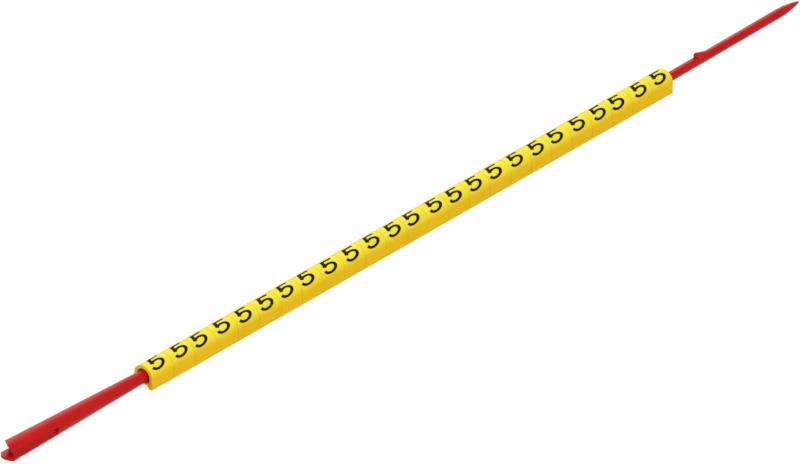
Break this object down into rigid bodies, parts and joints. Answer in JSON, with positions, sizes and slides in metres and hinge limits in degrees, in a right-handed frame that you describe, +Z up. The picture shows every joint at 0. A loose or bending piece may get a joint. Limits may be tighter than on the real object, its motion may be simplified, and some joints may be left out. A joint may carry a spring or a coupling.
{
  "type": "cable marker strip",
  "caption": "Strip of soft yellow slide-on cable markers printed with a black numeral, threaded in a tight row on a red carrier stick with a grooved end and a barbed needle.",
  "frame": {"origin": "middle of the footprint, on the surface that the marker feet stand on", "axes": "+X along the stick from the grooved wire end to the needle point, +Z up, so the printed arches face up"},
  "size_m": [0.1144, 0.0022, 0.0024],
  "materials": {
    "stick_red": "semi-gloss moulded",
    "marker_yellow": "satin soft vinyl"
  },
  "bodies": {
    "carrier": {"carrier_stick": "stick_red"},
    "marker_01": {"marker_01": "marker_yellow"},
    "marker_02": {"marker_02": "marker_yellow"},
    "marker_03": {"marker_03": "marker_yellow"},
    "marker_04": {"marker_04": "marker_yellow"},
    "marker_05": {"marker_05": "marker_yellow"},
    "marker_06": {"marker_06": "marker_yellow"},
    "marker_07": {"marker_07": "marker_yellow"},
    "marker_08": {"marker_08": "marker_yellow"},
    "marker_09": {"marker_09": "marker_yellow"},
    "marker_10": {"marker_10": "marker_yellow"},
    "marker_11": {"marker_11": "marker_yellow"},
    "marker_12": {"marker_12": "marker_yellow"},
    "marker_13": {"marker_13": "marker_yellow"},
    "marker_14": {"marker_14": "marker_yellow"},
    "marker_15": {"marker_15": "marker_yellow"},
    "marker_16": {"marker_16": "marker_yellow"},
    "marker_17": {"marker_17": "marker_yellow"},
    "marker_18": {"marker_18": "marker_yellow"},
    "marker_19": {"marker_19": "marker_yellow"},
    "marker_20": {"marker_20": "marker_yellow"},
    "marker_21": {"marker_21": "marker_yellow"},
    "marker_22": {"marker_22": "marker_yellow"},
    "marker_23": {"marker_23": "marker_yellow"},
    "marker_24": {"marker_24": "marker_yellow"},
    "marker_25": {"marker_25": "marker_yellow"}
  },
  "joints": [
    {"name": "marker_25_slide", "type": "slide", "parent": "carrier", "child": "marker_25", "axis": [1, 0, 0], "range_m": [-0.0001, 0.0045]},
    {"name": "marker_24_slide", "type": "slide", "parent": "marker_25", "child": "marker_24", "axis": [1, 0, 0], "range_m": [-0.0001, 0]},
    {"name": "marker_23_slide", "type": "slide", "parent": "marker_24", "child": "marker_23", "axis": [1, 0, 0], "range_m": [-0.0001, 0]},
    {"name": "marker_22_slide", "type": "slide", "parent": "marker_23", "child": "marker_22", "axis": [1, 0, 0], "range_m": [-0.0001, 0]},
    {"name": "marker_21_slide", "type": "slide", "parent": "marker_22", "child": "marker_21", "axis": [1, 0, 0], "range_m": [-0.0001, 0]},
    {"name": "marker_20_slide", "type": "slide", "parent": "marker_21", "child": "marker_20", "axis": [1, 0, 0], "range_m": [-0.0001, 0]},
    {"name": "marker_19_slide", "type": "slide", "parent": "marker_20", "child": "marker_19", "axis": [1, 0, 0], "range_m": [-0.0001, 0]},
    {"name": "marker_18_slide", "type": "slide", "parent": "marker_19", "child": "marker_18", "axis": [1, 0, 0], "range_m": [-0.0001, 0]},
    {"name": "marker_17_slide", "type": "slide", "parent": "marker_18", "child": "marker_17", "axis": [1, 0, 0], "range_m": [-0.0001, 0]},
    {"name": "marker_16_slide", "type": "slide", "parent": "marker_17", "child": "marker_16", "axis": [1, 0, 0], "range_m": [-0.0001, 0]},
    {"name": "marker_15_slide", "type": "slide", "parent": "marker_16", "child": "marker_15", "axis": [1, 0, 0], "range_m": [-0.0001, 0]},
    {"name": "marker_14_slide", "type": "slide", "parent": "marker_15", "child": "marker_14", "axis": [1, 0, 0], "range_m": [-0.0001, 0]},
    {"name": "marker_13_slide", "type": "slide", "parent": "marker_14", "child": "marker_13", "axis": [1, 0, 0], "range_m": [-0.0001, 0]},
    {"name": "marker_12_slide", "type": "slide", "parent": "marker_13", "child": "marker_12", "axis": [1, 0, 0], "range_m": [-0.0001, 0]},
    {"name": "marker_11_slide", "type": "slide", "parent": "marker_12", "child": "marker_11", "axis": [1, 0, 0], "range_m": [-0.0001, 0]},
    {"name": "marker_10_slide", "type": "slide", "parent": "marker_11", "child": "marker_10", "axis": [1, 0, 0], "range_m": [-0.0001, 0]},
    {"name": "marker_09_slide", "type": "slide", "parent": "marker_10", "child": "marker_09", "axis": [1, 0, 0], "range_m": [-0.0001, 0]},
    {"name": "marker_08_slide", "type": "slide", "parent": "marker_09", "child": "marker_08", "axis": [1, 0, 0], "range_m": [-0.0001, 0]},
    {"name": "marker_07_slide", "type": "slide", "parent": "marker_08", "child": "marker_07", "axis": [1, 0, 0], "range_m": [-0.0001, 0]},
    {"name": "marker_06_slide", "type": "slide", "parent": "marker_07", "child": "marker_06", "axis": [1, 0, 0], "range_m": [-0.0001, 0]},
    {"name": "marker_05_slide", "type": "slide", "parent": "marker_06", "child": "marker_05", "axis": [1, 0, 0], "range_m": [-0.0001, 0]},
    {"name": "marker_04_slide", "type": "slide", "parent": "marker_05", "child": "marker_04", "axis": [1, 0, 0], "range_m": [-0.0001, 0]},
    {"name": "marker_03_slide", "type": "slide", "parent": "marker_04", "child": "marker_03", "axis": [1, 0, 0], "range_m": [-0.0001, 0]},
    {"name": "marker_02_slide", "type": "slide", "parent": "marker_03", "child": "marker_02", "axis": [1, 0, 0], "range_m": [-0.0001, 0]},
    {"name": "marker_01_slide", "type": "slide", "parent": "marker_02", "child": "marker_01", "axis": [1, 0, 0], "range_m": [-0.0004, 0]}
  ]
}
